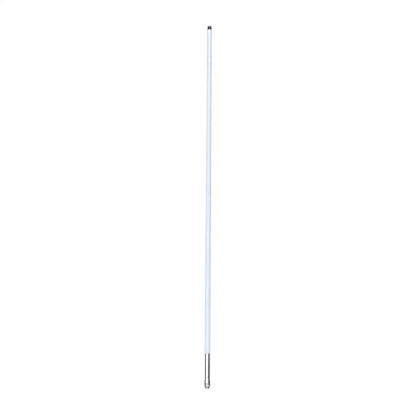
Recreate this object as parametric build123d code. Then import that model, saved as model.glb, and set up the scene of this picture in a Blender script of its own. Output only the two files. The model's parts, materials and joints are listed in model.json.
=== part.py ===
from build123d import *

import os
from math import cos, pi, radians, sin

# A 1.5 m omnidirectional collinear antenna for 2.4 GHz, standing on its N-type jack.
#
# The frame: the origin is the centre of the jack's open end, +Z runs up the antenna's axis, and the
# front of the antenna, which carries the printed marking, faces -Y. All sizes are in millimetres.

# ---- driving dimensions -------------------------------------------------------------------------
TOTAL_HEIGHT = 1500.0

THREAD_MAJOR_R = 15.875 / 2  # 5/8-24 UNEF, the thread of every N-type jack
THREAD_PITCH = 25.4 / 24
NUT_BOTTOM_Z = 7.0
NUT_THICKNESS = 5.5
NUT_ACROSS_FLATS = 18.0
LOCK_WASHER_THICKNESS = 1.4
FLAT_WASHER_THICKNESS = 1.1
FLAT_WASHER_R = 9.4

COLLAR_R = 10.0
COLLAR_TOP_Z = 28.6
SLEEVE_R = 8.6
SLEEVE_WALL = 2.1
RADOME_BOTTOM_Z = 112.0
SPIGOT_LENGTH = 40.0

RADOME_R = 9.5
RADOME_WALL = 1.5
CAP_HEIGHT = 22.5
CAP_R = 9.2

DIPOLE_COUNT = 15
DIPOLE_PITCH = 85.4  # one wavelength inside the feed line's PTFE
FIRST_DIPOLE_Z = 226.0
DIPOLE_HALF_LENGTH = 27.5  # a quarter wave in air, less the end effect
DIPOLE_R = 5.0
SLOT_GAP = 1.2

FEED_R = 1.8
FEED_WALL = 0.3
WIRE_R = 0.46

# ---- clearances ---------------------------------------------------------------------------------
FIT = 0.02  # radial gap of a pressed, screwed or soldered fit
SLIP = 0.05  # radial gap of a glued or sliding fit
RUNNING = 0.06  # radial gap between the nut or a washer and the thread
END_GAP = 0.3  # gap left between stacked pieces that only face each other

# ---- levels and radii worked out from the driving dimensions ------------------------------------
NUT_TOP_Z = NUT_BOTTOM_Z + NUT_THICKNESS
FLAT_WASHER_Z = NUT_TOP_Z + LOCK_WASHER_THICKNESS
COLLAR_BOTTOM_Z = FLAT_WASHER_Z + FLAT_WASHER_THICKNESS
RADOME_TOP_Z = TOTAL_HEIGHT - CAP_HEIGHT
SPIGOT_TOP_Z = RADOME_BOTTOM_Z + SPIGOT_LENGTH
RADOME_BORE_R = RADOME_R - RADOME_WALL
SPIGOT_R = RADOME_BORE_R - SLIP
SLEEVE_BORE_R = SLEEVE_R - SLEEVE_WALL
LAST_DIPOLE_Z = FIRST_DIPOLE_Z + (DIPOLE_COUNT - 1) * DIPOLE_PITCH

# ---- the jack -----------------------------------------------------------------------------------
JACK_MOUTH_R = 4.05
JACK_MOUTH_DEPTH = 9.1
JACK_BORE_R = 3.5
JACK_THREAD_TOP_Z = 24.0
JACK_REAR_R = 5.0
JACK_REAR_TOP_Z = 34.0
FERRULE_R = 2.6
FERRULE_TOP_Z = 42.0
JACK_RELIEF_Z = 6.4  # where the thread for the plug ends and the thread for the nut begins
JACK_RELIEF_WIDTH = 0.7
JACK_RELIEF_DEPTH = 0.6
JACK_SEAL_Z = 20.0
JACK_SEAL_R = 0.75
CONTACT_R = 1.52
CONTACT_TIP_Z = 4.5
CONTACT_TOP_Z = 33.0
CONTACT_BORE_R = 0.84
CONTACT_SLOT_WIDTH = 0.35
CONTACT_SLOT_DEPTH = 5.0
SOLDER_CUP_DEPTH = 2.5

# ---- the collar and its fastenings --------------------------------------------------------------
COLLAR_SPIGOT_TOP_Z = 46.0
GRUB_SCREW_Z = 37.0
GRUB_SCREW_R = 1.5
GRUB_ANGLES = (60.0, 120.0)  # both at the back
GRUB_SOCKET_ACROSS_FLATS = 1.5
WEEP_HOLE_Z = 51.0
WEEP_HOLE_R = 1.2
RIVET_Z = 126.0
RIVET_R = 1.2
RIVET_HEAD_R = 2.2
RIVET_HEAD_HEIGHT = 0.6
RIVET_ANGLES = (0.0, 180.0)
RADOME_SEAL_Z = 142.0
RADOME_SEAL_R = 0.48

# ---- the printed marking: a column of plain bars on the front of the sleeve ---------------------
MARK_COUNT = 8
MARK_PITCH = 6.9
MARK_FIRST_Z = 35.5
MARK_LENGTHS = (5.0, 3.4, 5.0, 4.2, 5.4, 3.4, 5.0, 4.2)
MARK_CENTRE_ANGLE = -52.0
MARK_HALF_ANGLE = 22.0
MARK_DEPTH = 0.1

# ---- the feed line ------------------------------------------------------------------------------
FEED_BOTTOM_Z = 36.0
FEED_TOP_Z = LAST_DIPOLE_Z + 21.0  # a quarter wave above the last slot
PTFE_BOTTOM_Z = 34.3
WIRE_BOTTOM_Z = CONTACT_TOP_Z - SOLDER_CUP_DEPTH + 0.2
SHORT_HEIGHT = 5.0
FEED_BUSH_Z = 88.0
CHOKE_BOTTOM_Z = 158.5
CHOKE_LENGTH = 29.0
CHOKE_R = 5.5
CUP_WALL = 0.4
CUP_END = 1.0
MATCH_BOTTOM_Z = 189.0
MATCH_LENGTH = 7.5
SPACER_THICKNESS = 3.0
FIRST_SPACER_Z = 154.5

FOAM_TOP_Z = 1461.0
CAP_PLUG_BOTTOM_Z = 1462.0
CAP_PLUG_R = RADOME_BORE_R - SLIP
CAP_SHELL_WALL = 2.2
CAP_SEAL_Z = 1470.0
CAP_SEAL_R = 0.6
CAP_DOME_R = 4.2


# ---- shapes -------------------------------------------------------------------------------------
def rod(radius, bottom, top):
    """A cylinder on the antenna's axis, from one level to another."""
    return Pos(0, 0, bottom) * Cylinder(radius, top - bottom, align=(Align.CENTER, Align.CENTER, Align.MIN))


def tube(outer, inner, bottom, top):
    """A straight tube on the antenna's axis."""
    return rod(outer, bottom, top) - rod(inner, bottom - 1, top + 1)


def turned(*points):
    """A solid turned about the antenna's axis from its outline, given as (radius, level) points."""
    outline = Polyline(*[(r, 0, z) for r, z in points], close=True)
    return revolve(make_face(outline), axis=Axis.Z)


def ring(major, minor, level):
    """An O-ring on the antenna's axis."""
    return Pos(0, 0, level) * Torus(major, minor)


def radial(angle, level, start):
    """A place on a radius of the antenna, with its own +Z pointing outwards."""
    a = radians(angle)
    return Plane(origin=(start * cos(a), start * sin(a), level), x_dir=(0, 0, 1), z_dir=(cos(a), sin(a), 0))


def radial_rod(angle, level, radius, start, end):
    """A cylinder along a radius of the antenna."""
    upright = Cylinder(radius, end - start, align=(Align.CENTER, Align.CENTER, Align.MIN))
    return radial(angle, level, start) * upright


def hexagon(across_flats, bottom, top):
    """A hexagonal bar on the antenna's axis, with flats at its front and back."""
    outline = Pos(0, 0, bottom) * RegularPolygon(across_flats / 2, 6, major_radius=False)
    return extrude(outline, top - bottom)


def union(parts):
    """The pieces of one node that don't touch, kept as separate solids."""
    return Compound(children=[part.solid() for part in parts])


# ---- the outside, from the top down -------------------------------------------------------------
def radome_tube():
    """A glass-fibre tube, drilled for the two rivets, with eased ends."""
    ease = 0.3
    shape = turned(
        (RADOME_BORE_R, RADOME_BOTTOM_Z),
        (RADOME_R - ease, RADOME_BOTTOM_Z),
        (RADOME_R, RADOME_BOTTOM_Z + ease),
        (RADOME_R, RADOME_TOP_Z - ease),
        (RADOME_R - ease, RADOME_TOP_Z),
        (RADOME_BORE_R, RADOME_TOP_Z),
    )
    for angle in RIVET_ANGLES:
        shape -= radial_rod(angle, RIVET_Z, RIVET_R + SLIP, RADOME_BORE_R - 1, RADOME_R + 1)
    return shape


def top_cap():
    """A moulded cap: a domed head that sits on the radome's end, and a hollow plug with an O-ring groove."""
    head = rod(CAP_R, RADOME_TOP_Z, TOTAL_HEIGHT)
    head = fillet(head.edges().sort_by(Axis.Z)[-1], CAP_DOME_R)
    plug = rod(CAP_PLUG_R, CAP_PLUG_BOTTOM_Z, RADOME_TOP_Z)
    plug = chamfer(plug.edges().sort_by(Axis.Z)[0], 0.6)
    hollow = rod(CAP_PLUG_R - CAP_SHELL_WALL, CAP_PLUG_BOTTOM_Z - 1, TOTAL_HEIGHT - CAP_DOME_R - 1)
    groove_bottom_r = CAP_PLUG_R - 2 * CAP_SEAL_R
    groove_half = CAP_SEAL_R + 0.1
    groove = tube(RADOME_R, groove_bottom_r, CAP_SEAL_Z - groove_half, CAP_SEAL_Z + groove_half)
    return head + plug - hollow - groove


def cap_seal():
    """The O-ring between the cap's plug and the radome."""
    return ring(CAP_PLUG_R - CAP_SEAL_R + 0.02, CAP_SEAL_R - 0.03, CAP_SEAL_Z)


def base_sleeve():
    """The turned aluminium tube that a mast bracket grips. Its thinner top end is glued into the radome."""
    groove_half = RADOME_SEAL_R + 0.07
    groove_bottom_r = SPIGOT_R - 2 * RADOME_SEAL_R + 0.01
    lead = 0.8
    shape = turned(
        (SLEEVE_BORE_R, COLLAR_TOP_Z),
        (SLEEVE_R - 0.3, COLLAR_TOP_Z),
        (SLEEVE_R, COLLAR_TOP_Z + 0.3),
        (SLEEVE_R, RADOME_BOTTOM_Z),
        (SPIGOT_R, RADOME_BOTTOM_Z),
        (SPIGOT_R, RADOME_SEAL_Z - groove_half),
        (groove_bottom_r, RADOME_SEAL_Z - groove_half),
        (groove_bottom_r, RADOME_SEAL_Z + groove_half),
        (SPIGOT_R, RADOME_SEAL_Z + groove_half),
        (SPIGOT_R, SPIGOT_TOP_Z - lead),
        (SPIGOT_R - lead / 2, SPIGOT_TOP_Z),
        (SLEEVE_BORE_R, SPIGOT_TOP_Z),
    )
    for angle in GRUB_ANGLES:
        shape -= radial_rod(angle, GRUB_SCREW_Z, GRUB_SCREW_R, SLEEVE_BORE_R - 1, SLEEVE_R + 1)
    for angle in RIVET_ANGLES:
        shape -= radial_rod(angle, RIVET_Z, RIVET_R + SLIP, SLEEVE_BORE_R - 1, SLEEVE_R + 1)
    shape -= radial_rod(90, WEEP_HOLE_Z, WEEP_HOLE_R, SLEEVE_BORE_R - 1, SLEEVE_R + 1)
    return shape


def base_collar():
    """The turned end collar: it closes the sleeve, is tapped for the jack, and bears on the bracket."""
    edge = 0.7
    spigot_r = SLEEVE_BORE_R - FIT
    shape = turned(
        (THREAD_MAJOR_R + FIT, COLLAR_BOTTOM_Z),
        (COLLAR_R - edge, COLLAR_BOTTOM_Z),
        (COLLAR_R, COLLAR_BOTTOM_Z + edge),
        (COLLAR_R, COLLAR_TOP_Z - edge),
        (COLLAR_R - edge, COLLAR_TOP_Z),
        (spigot_r, COLLAR_TOP_Z),
        (spigot_r, COLLAR_SPIGOT_TOP_Z),
        (JACK_REAR_R + 0.1, COLLAR_SPIGOT_TOP_Z),
        (JACK_REAR_R + 0.1, JACK_THREAD_TOP_Z + FIT),
        (THREAD_MAJOR_R + FIT, JACK_THREAD_TOP_Z + FIT),
    )
    for angle in GRUB_ANGLES:
        shape -= radial_rod(angle, GRUB_SCREW_Z, GRUB_SCREW_R, JACK_REAR_R, SLEEVE_BORE_R + 1)
    return shape


def marking_bars():
    """Plain printed bars in a column on the sleeve's front right."""
    bars = []
    level = MARK_FIRST_Z
    skin = tube(SLEEVE_R + MARK_DEPTH, SLEEVE_R, COLLAR_TOP_Z, RADOME_BOTTOM_Z)
    for index, length in zip(range(MARK_COUNT), MARK_LENGTHS):
        middle = radial(MARK_CENTRE_ANGLE, level + index * MARK_PITCH, SLEEVE_R - 3)
        width = 2 * SLEEVE_R * sin(radians(MARK_HALF_ANGLE))
        bars.append(skin & (middle * Box(length, width, 12)))
    return union(bars)


# ---- fastenings ---------------------------------------------------------------------------------
def collar_grub_screws():
    """Two socket grub screws that hold the sleeve on the collar."""
    screws = []
    inner, outer = JACK_REAR_R + 0.2, SLEEVE_R - 0.2
    for angle in GRUB_ANGLES:
        place = radial(angle, GRUB_SCREW_Z, inner)
        body = Cylinder(GRUB_SCREW_R - FIT, outer - inner, align=(Align.CENTER, Align.CENTER, Align.MIN))
        body = chamfer(body.edges().filter_by(GeomType.CIRCLE), 0.2)
        hexagonal = RegularPolygon(GRUB_SOCKET_ACROSS_FLATS / 2, 6, major_radius=False)
        socket = Pos(0, 0, outer - inner - 1.4) * extrude(hexagonal, 2)
        screws.append(place * (body - socket))
    return union(screws)


def radome_rivets():
    """Two dome-headed rivets that pin the radome to the sleeve."""
    rivets = []
    for angle in RIVET_ANGLES:
        shank = radial_rod(angle, RIVET_Z, RIVET_R, SLEEVE_BORE_R, RADOME_R + 0.1)
        ball_r = (RIVET_HEAD_R**2 + RIVET_HEAD_HEIGHT**2) / (2 * RIVET_HEAD_HEIGHT)
        ball = radial(angle, RIVET_Z, RADOME_R - ball_r + RIVET_HEAD_HEIGHT) * Sphere(ball_r)
        blank = radial_rod(angle, RIVET_Z, RIVET_HEAD_R, RADOME_R - 0.5, RADOME_R + 2)
        head = ball & blank
        head -= rod(RADOME_R, RIVET_Z - 5, RIVET_Z + 5)
        rivets.append(shank + head)
    return union(rivets)


def radome_seal():
    """The O-ring between the sleeve's top end and the radome."""
    return ring(SPIGOT_R - RADOME_SEAL_R + 0.02, RADOME_SEAL_R - 0.02, RADOME_SEAL_Z)


def mounting_nut():
    """The hexagon nut that clamps the collar to a bracket, with its corners turned away at both ends."""
    corner = NUT_ACROSS_FLATS / 2 / cos(pi / 6)
    drop = 0.9
    bore_r = THREAD_MAJOR_R + RUNNING
    turned_blank = turned(
        (bore_r + 0.5, NUT_BOTTOM_Z),
        (NUT_ACROSS_FLATS / 2 - 0.3, NUT_BOTTOM_Z),
        (corner, NUT_BOTTOM_Z + drop),
        (corner, NUT_TOP_Z - drop),
        (NUT_ACROSS_FLATS / 2 - 0.3, NUT_TOP_Z),
        (bore_r + 0.5, NUT_TOP_Z),
        (bore_r, NUT_TOP_Z - 0.5),
        (bore_r, NUT_BOTTOM_Z + 0.5),
    )
    return hexagon(NUT_ACROSS_FLATS, NUT_BOTTOM_Z, NUT_TOP_Z) & turned_blank


def lock_washer():
    """A split spring washer, pressed flat by the nut."""
    bore_r = THREAD_MAJOR_R + 2 * RUNNING
    shape = tube(bore_r + 1.5, bore_r, NUT_TOP_Z, FLAT_WASHER_Z)
    gap = Pos(bore_r, 0, (NUT_TOP_Z + FLAT_WASHER_Z) / 2) * Box(5, 0.9, 5)
    return shape - Rot(0, 0, 200) * gap


def flat_washer():
    """The plain washer between the spring washer and the collar."""
    shape = tube(FLAT_WASHER_R, THREAD_MAJOR_R + 2 * RUNNING, FLAT_WASHER_Z, COLLAR_BOTTOM_Z)
    outer_edges = shape.edges().filter_by(GeomType.CIRCLE).group_by(SortBy.RADIUS)[-1]
    return chamfer(outer_edges, 0.2)


# ---- the jack -----------------------------------------------------------------------------------
def jack_body():
    """The jack's shell, screwed up into the collar until its shoulder stops on the collar's ledge.

    Its threaded barrel has a mouth below and an O-ring groove; the rear body carries the feed line's ferrule.
    """
    groove_bottom_r = THREAD_MAJOR_R - 2 * JACK_SEAL_R + 0.05
    groove_half = JACK_SEAL_R + 0.08
    relief_top_z = JACK_RELIEF_Z + JACK_RELIEF_WIDTH
    relief_r = THREAD_MAJOR_R - JACK_RELIEF_DEPTH
    lead = 0.5
    return turned(
        (JACK_MOUTH_R + 0.3, 0),
        (THREAD_MAJOR_R - lead, 0),
        (THREAD_MAJOR_R, lead),
        (THREAD_MAJOR_R, JACK_RELIEF_Z),
        (relief_r, JACK_RELIEF_Z),
        (relief_r, relief_top_z),
        (THREAD_MAJOR_R, relief_top_z),
        (THREAD_MAJOR_R, JACK_SEAL_Z - groove_half),
        (groove_bottom_r, JACK_SEAL_Z - groove_half),
        (groove_bottom_r, JACK_SEAL_Z + groove_half),
        (THREAD_MAJOR_R, JACK_SEAL_Z + groove_half),
        (THREAD_MAJOR_R, JACK_THREAD_TOP_Z),
        (JACK_REAR_R, JACK_THREAD_TOP_Z),
        (JACK_REAR_R, JACK_REAR_TOP_Z),
        (FERRULE_R, JACK_REAR_TOP_Z),
        (FERRULE_R, FERRULE_TOP_Z),
        (FEED_R + FIT, FERRULE_TOP_Z),
        (FEED_R + FIT, JACK_REAR_TOP_Z - END_GAP),
        (JACK_BORE_R, JACK_REAR_TOP_Z - END_GAP),
        (JACK_BORE_R, JACK_MOUTH_DEPTH),
        (JACK_MOUTH_R, JACK_MOUTH_DEPTH),
        (JACK_MOUTH_R, 0.3),
    )


def jack_dielectric():
    """The PTFE bead that holds the centre contact."""
    step_z = 20.0
    return turned(
        (CONTACT_R + FIT, JACK_MOUTH_DEPTH + 1),
        (JACK_BORE_R - 0.6, JACK_MOUTH_DEPTH + 1),
        (JACK_BORE_R - FIT, JACK_MOUTH_DEPTH + 1.6),
        (JACK_BORE_R - FIT, step_z),
        (JACK_BORE_R - 0.5, step_z + 0.5),
        (JACK_BORE_R - 0.5, 26),
        (JACK_BORE_R - FIT, 26.5),
        (JACK_BORE_R - FIT, 31),
        (CONTACT_R + FIT, 31),
    )


def jack_contact():
    """The centre contact: a slotted spring socket at the mouth and a solder cup at the back."""
    shape = turned(
        (0, CONTACT_TIP_Z + 6),
        (CONTACT_BORE_R, CONTACT_TIP_Z + 6),
        (CONTACT_BORE_R, CONTACT_TIP_Z + 0.3),
        (CONTACT_BORE_R + 0.2, CONTACT_TIP_Z),
        (CONTACT_R - 0.2, CONTACT_TIP_Z),
        (CONTACT_R, CONTACT_TIP_Z + 0.3),
        (CONTACT_R, CONTACT_TOP_Z),
        (WIRE_R + FIT, CONTACT_TOP_Z),
        (WIRE_R + FIT, CONTACT_TOP_Z - SOLDER_CUP_DEPTH),
        (0, CONTACT_TOP_Z - SOLDER_CUP_DEPTH),
    )
    for angle in (45, 135):
        blade = Box(4 * CONTACT_R, CONTACT_SLOT_WIDTH, 2 * CONTACT_SLOT_DEPTH)
        shape -= Pos(0, 0, CONTACT_TIP_Z) * Rot(0, 0, angle) * blade
    return shape


def jack_seal():
    """The O-ring between the jack and the collar."""
    return ring(THREAD_MAJOR_R - JACK_SEAL_R + 0.02, JACK_SEAL_R - 0.03, JACK_SEAL_Z)


# ---- the feed line ------------------------------------------------------------------------------
def dipole_levels():
    """The level of each dipole's slot."""
    return [FIRST_DIPOLE_Z + index * DIPOLE_PITCH for index in range(DIPOLE_COUNT)]


def feed_inner_wire():
    """The silver-plated inner conductor, from the jack's contact to the short at the top."""
    return rod(WIRE_R, WIRE_BOTTOM_Z, FEED_TOP_Z + SHORT_HEIGHT - 1)


def feed_dielectric():
    """The PTFE between the two conductors."""
    return tube(FEED_R - FEED_WALL - FIT, WIRE_R + FIT, PTFE_BOTTOM_Z, FEED_TOP_Z)


def feed_outer_segments():
    """The copper outer conductor, cut through at each dipole's slot."""
    cuts = [level + side * SLOT_GAP / 2 for level in dipole_levels() for side in (-1, 1)]
    ends = [FEED_BOTTOM_Z, *cuts, FEED_TOP_Z]
    return union([tube(FEED_R, FEED_R - FEED_WALL, low, high) for low, high in zip(ends[::2], ends[1::2])])


def heat_shrink():
    """Heat-shrink tubing over the ferrule and the foot of the feed line."""
    wall = 0.4
    inner_low, inner_high = FERRULE_R + FIT, FEED_R + FIT
    return turned(
        (inner_low, JACK_REAR_TOP_Z + 1),
        (inner_low + wall, JACK_REAR_TOP_Z + 1),
        (inner_low + wall, FERRULE_TOP_Z + 0.6),
        (inner_high + wall, FERRULE_TOP_Z + 3),
        (inner_high + wall, FERRULE_TOP_Z + 18),
        (inner_high, FERRULE_TOP_Z + 18),
        (inner_high, FERRULE_TOP_Z + 2.6),
        (inner_low, FERRULE_TOP_Z + 0.2),
    )


def feed_bush():
    """The nylon bush that centres the feed line in the sleeve."""
    shape = tube(SLEEVE_BORE_R - SLIP, FEED_R + FIT, FEED_BUSH_Z, FEED_BUSH_Z + 8)
    for angle in (0, 120, 240):
        shape -= Rot(0, 0, angle) * Pos(4.2, 0, FEED_BUSH_Z + 4) * Cylinder(1.1, 10)
    return shape


def cup(radius, length, closed_z, upwards):
    """A quarter-wave cup: a thin tube, closed at one end by a disc that is soldered to the feed line."""
    sign = 1 if upwards else -1
    bore = FEED_R + FIT
    lip = 0.2
    return turned(
        (bore, closed_z),
        (radius - lip, closed_z),
        (radius, closed_z + sign * lip),
        (radius, closed_z + sign * length),
        (radius - CUP_WALL, closed_z + sign * length),
        (radius - CUP_WALL, closed_z + sign * CUP_END),
        (bore, closed_z + sign * CUP_END),
    )


def balun_choke():
    """The quarter-wave brass cup that keeps current off the sleeve."""
    return cup(CHOKE_R, CHOKE_LENGTH, CHOKE_BOTTOM_Z + CHOKE_LENGTH, False)


def matching_sleeve():
    """The brass transformer sleeve soldered round the feed line below the first dipole."""
    shape = tube(FEED_R + 0.8, FEED_R + FIT, MATCH_BOTTOM_Z, MATCH_BOTTOM_Z + MATCH_LENGTH)
    return chamfer(shape.edges().filter_by(GeomType.CIRCLE).group_by(SortBy.RADIUS)[-1], 0.3)


def dipole(level):
    """One dipole: two brass cups, back to back over the slot."""
    upper = cup(DIPOLE_R, DIPOLE_HALF_LENGTH, level + SLOT_GAP / 2, True)
    lower = cup(DIPOLE_R, DIPOLE_HALF_LENGTH, level - SLOT_GAP / 2, False)
    return union([lower, upper])


def spacer(level):
    """A three-armed spacer that centres the feed line in the radome."""
    half = SPACER_THICKNESS / 2
    reach = RADOME_BORE_R - 2 * SLIP
    shape = rod(3.6, level - half, level + half)
    for angle in (90, 210, 330):
        arm = Pos(reach / 2, 0, level) * Box(reach, 2.6, SPACER_THICKNESS)
        shape += Rot(0, 0, angle) * arm
    shape &= rod(reach, level - half, level + half)
    return shape - rod(FEED_R + FIT, level - 5, level + 5)


def top_short():
    """The brass cap that joins the two conductors at the top, which puts the antenna at DC ground."""
    return turned(
        (WIRE_R + FIT, FEED_TOP_Z),
        (FEED_R + FIT, FEED_TOP_Z),
        (FEED_R + FIT, FEED_TOP_Z - 4),
        (FEED_R + 0.5, FEED_TOP_Z - 4),
        (FEED_R + 0.5, FEED_TOP_Z + SHORT_HEIGHT - 1.6),
        (FEED_R, FEED_TOP_Z + SHORT_HEIGHT - 1.2),
        (WIRE_R + FIT, FEED_TOP_Z + SHORT_HEIGHT - 1.2),
    )


def top_foam_pad():
    """The foam plug that holds the array's top end steady."""
    pad_bottom = LAST_DIPOLE_Z + SLOT_GAP / 2 + DIPOLE_HALF_LENGTH + 1.5
    shape = rod(RADOME_BORE_R - 3 * SLIP, pad_bottom, FOAM_TOP_Z)
    return chamfer(shape.edges().filter_by(GeomType.CIRCLE), 0.8)


# ---- the parts list -----------------------------------------------------------------------------
def all_parts():
    """Every node's name and shape."""
    makers = (
        radome_tube,
        top_cap,
        cap_seal,
        base_sleeve,
        base_collar,
        marking_bars,
        collar_grub_screws,
        radome_rivets,
        radome_seal,
        mounting_nut,
        lock_washer,
        flat_washer,
        jack_body,
        jack_dielectric,
        jack_contact,
        jack_seal,
        feed_inner_wire,
        feed_dielectric,
        feed_outer_segments,
        heat_shrink,
        feed_bush,
        balun_choke,
        matching_sleeve,
        top_short,
        top_foam_pad,
    )
    parts = {maker.__name__: maker() for maker in makers}
    for number, level in enumerate(dipole_levels(), start=1):
        parts[f"dipole_{number:02d}"] = dipole(level)
        spacer_level = level - DIPOLE_PITCH / 2 if number > 1 else FIRST_SPACER_Z
        parts[f"spacer_{number:02d}"] = spacer(spacer_level)
    return parts


def main():
    os.makedirs("parts", exist_ok=True)
    for name, shape in all_parts().items():
        export_step(shape, f"parts/{name}.step")


if __name__ == "__main__":
    main()
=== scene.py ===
import json
from math import atan2, ceil, cos, floor, pi, radians, sin, sqrt, tan

import bmesh
import bpy
from bmesh.types import BMEdge, BMVert
from mathutils import Matrix, Vector, noise


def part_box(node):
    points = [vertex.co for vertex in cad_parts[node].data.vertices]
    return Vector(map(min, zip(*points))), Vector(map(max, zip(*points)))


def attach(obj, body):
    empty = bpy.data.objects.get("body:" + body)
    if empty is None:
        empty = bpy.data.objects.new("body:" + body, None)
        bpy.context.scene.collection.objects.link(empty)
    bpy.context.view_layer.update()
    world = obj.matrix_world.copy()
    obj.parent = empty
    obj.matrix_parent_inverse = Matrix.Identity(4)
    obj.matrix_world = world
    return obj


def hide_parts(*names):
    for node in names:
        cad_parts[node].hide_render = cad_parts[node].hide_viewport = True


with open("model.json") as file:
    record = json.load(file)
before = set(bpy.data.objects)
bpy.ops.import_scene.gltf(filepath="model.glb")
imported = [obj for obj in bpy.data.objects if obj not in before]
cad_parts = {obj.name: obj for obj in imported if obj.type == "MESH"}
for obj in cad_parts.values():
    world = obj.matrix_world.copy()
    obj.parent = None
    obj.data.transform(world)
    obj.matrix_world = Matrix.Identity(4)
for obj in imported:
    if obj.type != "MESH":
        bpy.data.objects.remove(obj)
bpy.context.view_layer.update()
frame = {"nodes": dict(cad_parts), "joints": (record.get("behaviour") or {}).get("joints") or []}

# ---- the studio ------------------------------------------------------------------------------------
# A white sweep under a broad overhead light. Round it stand a wide soft light in front, a narrow one
# behind and darker sides, which draw the edges of the bright metal. The floor lies just below the
# lowest place that the loosened nut reaches.
MM = 0.001
FLOOR_GAP = 0.3 * MM
FLOOR_SIZE = 60.0
CAMERA_PLACE = (-0.0016, -1.6643, 0.0371)
CAMERA_PITCH = radians(19.985)
CAMERA_ROLL = radians(0.38)
CAMERA_LENS = 40.17
NEAREST, FARTHEST = 0.01, 200.0
PAPER_WHITE, PAPER_GLOW = (0.93, 0.925, 0.915, 1), (1.0, 0.99, 0.97, 1)
PAPER_GLOW_STRENGTH = 0.25
SUN_STRENGTH, SUN_SPREAD, SUN_TILT = 2.5, radians(70), radians(22)
BACKDROP = (1.0, 1.0, 1.0, 1)
DARK_SIDES = (0.10, 0.11, 0.135, 1)
SOFT_LIGHT = (1.35, 1.37, 1.41, 1)
# Where each soft light comes from, the cosines at its edge and at its core, and its strength.
FRONT_LIGHT = ((-0.309, -0.951, 0.05), 0.50, 0.95, 1.0)
BACK_LIGHT = ((0.22, 0.96, 0.15), 0.90, 0.99, 0.95)

scene = bpy.context.scene
scene.view_settings.view_transform = "Standard"
scene.view_settings.look = "None"

camera = bpy.data.objects.new("camera", bpy.data.cameras.new("camera"))
camera.data.lens = CAMERA_LENS
camera.data.clip_start, camera.data.clip_end = NEAREST, FARTHEST
aim = Matrix.Rotation(pi / 2 + CAMERA_PITCH, 4, "X") @ Matrix.Rotation(CAMERA_ROLL, 4, "Z")
camera.matrix_world = Matrix.Translation(CAMERA_PLACE) @ aim
scene.collection.objects.link(camera)
scene.camera = camera

nut_drop = next(joint["range_m"][1] for joint in frame["joints"] if joint["name"] == "washer_drop")
floor_level = min(0.0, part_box("mounting_nut")[0].z - nut_drop) - FLOOR_GAP

bm = bmesh.new()
bmesh.ops.create_grid(bm, x_segments=1, y_segments=1, size=FLOOR_SIZE / 2)
bmesh.ops.translate(bm, verts=bm.verts, vec=(0, 0, floor_level))
floor_mesh = bpy.data.meshes.new("floor")
bm.to_mesh(floor_mesh)
bm.free()
studio_floor = bpy.data.objects.new("studio_floor", floor_mesh)
studio_floor.visible_glossy = False
scene.collection.objects.link(studio_floor)

pale_paper = bpy.data.materials.new("pale_paper")
pale_paper.use_nodes = True
paper = pale_paper.node_tree.nodes["Principled BSDF"]
paper.inputs["Base Color"].default_value = PAPER_WHITE
paper.inputs["Roughness"].default_value = 0.9
paper.inputs["Specular IOR Level"].default_value = 0.1
paper.inputs["Emission Color"].default_value = PAPER_GLOW
paper.inputs["Emission Strength"].default_value = PAPER_GLOW_STRENGTH
floor_mesh.materials.append(pale_paper)

overhead = bpy.data.objects.new("overhead_light", bpy.data.lights.new("overhead_light", "SUN"))
overhead.data.energy = SUN_STRENGTH
overhead.data.angle = SUN_SPREAD
overhead.rotation_euler = (SUN_TILT, 0, 0)
scene.collection.objects.link(overhead)


def node(owner, kind, **settings):
    """A new node in a material or the world. A setting is a property of the node's own, or an input."""
    made = owner.node_tree.nodes.new("ShaderNode" + kind)
    for key, value in settings.items():
        name = key.replace("_", " ")
        if hasattr(made, key):
            setattr(made, key, value)
        elif isinstance(value, bpy.types.NodeSocket):
            owner.node_tree.links.new(value, made.inputs[name])
        else:
            made.inputs[name].default_value = value
    return made


world = bpy.data.worlds.new("studio")
world.use_nodes = True
world.node_tree.nodes.clear()
scene.world = world
lobes = []
for light_from, edge, core, strength in (FRONT_LIGHT, BACK_LIGHT):
    towards_light = node(world, "VectorMath", operation="DOT_PRODUCT")
    towards_light.inputs[1].default_value = Vector(light_from).normalized()
    world.node_tree.links.new(node(world, "TexCoord").outputs["Generated"], towards_light.inputs[0])
    lobe = node(world, "MapRange", interpolation_type="SMOOTHSTEP", Value=towards_light.outputs["Value"])
    lobe.inputs["From Min"].default_value = edge
    lobe.inputs["From Max"].default_value = core
    lobe.inputs["To Max"].default_value = strength
    lobes.append(lobe)
brighter = node(world, "Math", operation="MAXIMUM")
for lobe, socket in zip(lobes, brighter.inputs):
    world.node_tree.links.new(lobe.outputs["Result"], socket)
soft_light = node(
    world, "Mix", data_type="RGBA", Factor=brighter.outputs["Value"], A=DARK_SIDES, B=SOFT_LIGHT
)
to_camera = node(world, "LightPath").outputs["Is Camera Ray"]
seen = node(world, "Mix", data_type="RGBA", Factor=to_camera, A=soft_light.outputs["Result"], B=BACKDROP)
glow = node(world, "Background", Color=seen.outputs["Result"])
node(world, "OutputWorld", Surface=glow.outputs["Background"])

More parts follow.
